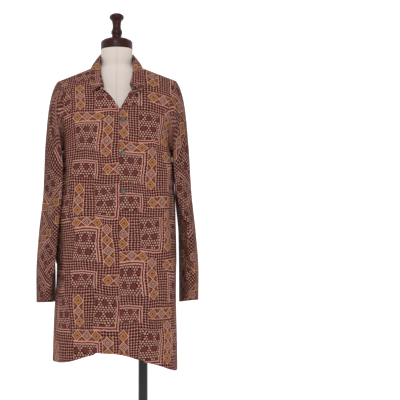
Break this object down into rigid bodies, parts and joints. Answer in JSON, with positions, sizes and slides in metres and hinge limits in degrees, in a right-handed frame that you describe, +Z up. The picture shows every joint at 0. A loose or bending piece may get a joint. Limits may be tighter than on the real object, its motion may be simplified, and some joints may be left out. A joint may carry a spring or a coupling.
{
  "type": "blouse on dress form",
  "caption": "Long printed blouse with a pointed shirt collar, open neck, long sleeves, side slits and a deep back fold, on a limbless linen dress form with a black stand.",
  "frame": {"origin": "centre of the base plate's underside, straight below the neck", "axes": "+Z up, -Y out of the blouse's front, +X to the wearer's left"},
  "size_m": [0.4817, 0.3618, 1.5243],
  "materials": {
    "cloth": "soft matt crepe with an all-over print",
    "shell": "polished dark shell",
    "linen": "natural plain-weave linen",
    "wood": "turned, dark red-brown, satin varnish",
    "black_metal": "black satin paint"
  },
  "bodies": {
    "root": {"front_left": "cloth", "front_right": "cloth", "back": "cloth", "sleeve_left": "cloth", "sleeve_right": "cloth", "collar_stand": "cloth", "collar_leaf": "cloth", "button_1": "shell", "button_2": "shell", "button_3": "shell", "form_torso": "linen", "neck_cap": "wood", "finial": "wood", "form_flange": "black_metal", "form_knob": "black_metal", "pole": "black_metal", "base_plate": "black_metal"}
  },
  "joints": []
}
